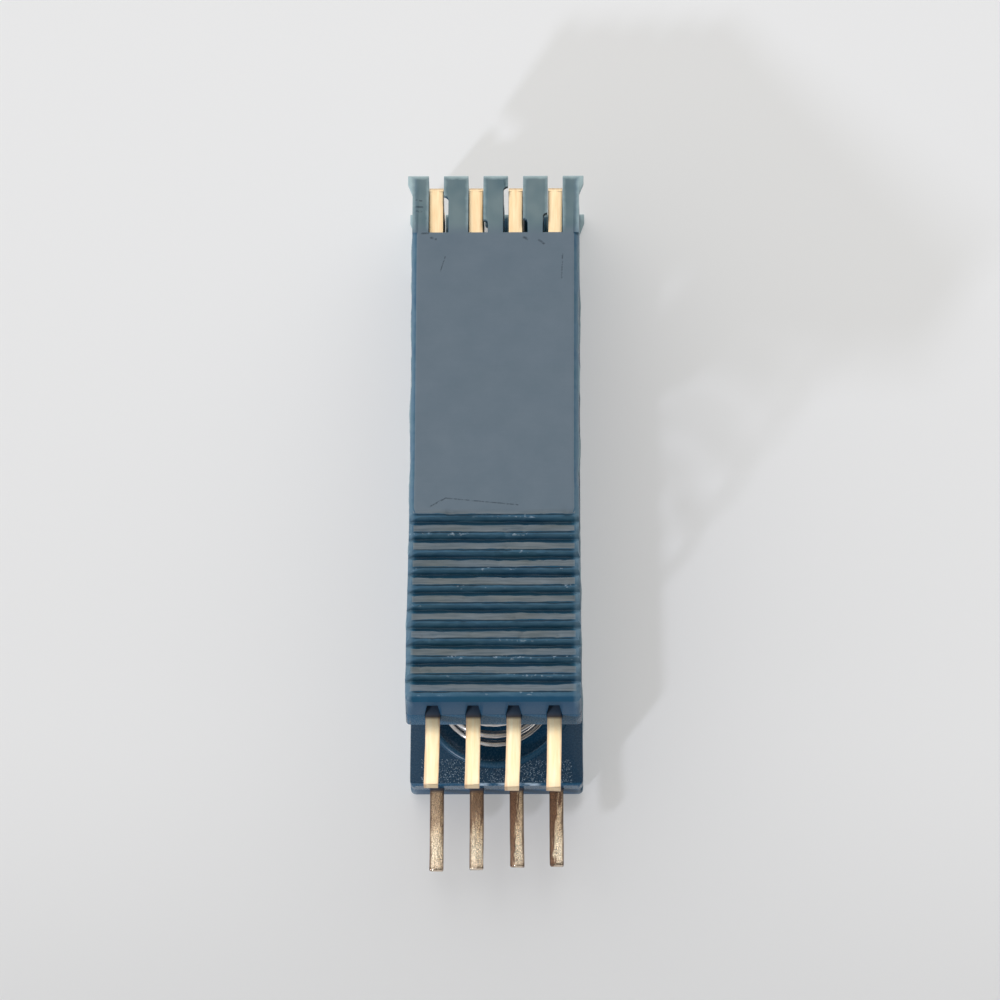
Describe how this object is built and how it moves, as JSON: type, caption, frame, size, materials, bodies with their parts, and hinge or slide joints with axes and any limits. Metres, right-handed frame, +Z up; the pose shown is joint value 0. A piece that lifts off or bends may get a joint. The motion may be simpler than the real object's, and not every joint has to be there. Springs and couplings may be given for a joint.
{
  "type": "chip test clip",
  "caption": "Clothes-peg style spring clip that grips a dual in-line chip and brings its leads out to two rows of flat test pins.",
  "frame": {"origin": "on the rear half's outer face, straight under the hinge axis", "axes": "+Z up from the face that it rests on, +Y towards the jaw, +X along the hinge pin"},
  "size_m": [0.0112, 0.0443, 0.0182],
  "materials": {
    "shell_plastic": "satin moulded, slate blue",
    "plate_plastic": "satin moulded, dark slate blue",
    "contact_gold": "gold-plated sheet, lightly tarnished",
    "pin_steel": "drawn steel pin",
    "spring_steel": "bright drawn spring wire"
  },
  "bodies": {
    "rear_half": {"rear_shell": "shell_plastic", "rear_inner_plate": "plate_plastic", "rear_contact_1": "contact_gold", "rear_contact_2": "contact_gold", "rear_contact_3": "contact_gold", "rear_contact_4": "contact_gold", "hinge_pin": "pin_steel", "grip_spring": "spring_steel"},
    "front_half": {"front_shell": "shell_plastic", "front_inner_plate": "plate_plastic", "front_contact_1": "contact_gold", "front_contact_2": "contact_gold", "front_contact_3": "contact_gold", "front_contact_4": "contact_gold"}
  },
  "joints": [
    {"name": "jaw_hinge", "type": "hinge", "parent": "rear_half", "child": "front_half", "pos_m": [0, 0, 0.00644], "axis": [1, 0, 0], "range_deg": [0, 26], "stiffness_Nm_per_rad": 0.072, "springref_deg": -4.87, "deforming": ["grip_spring"]}
  ]
}
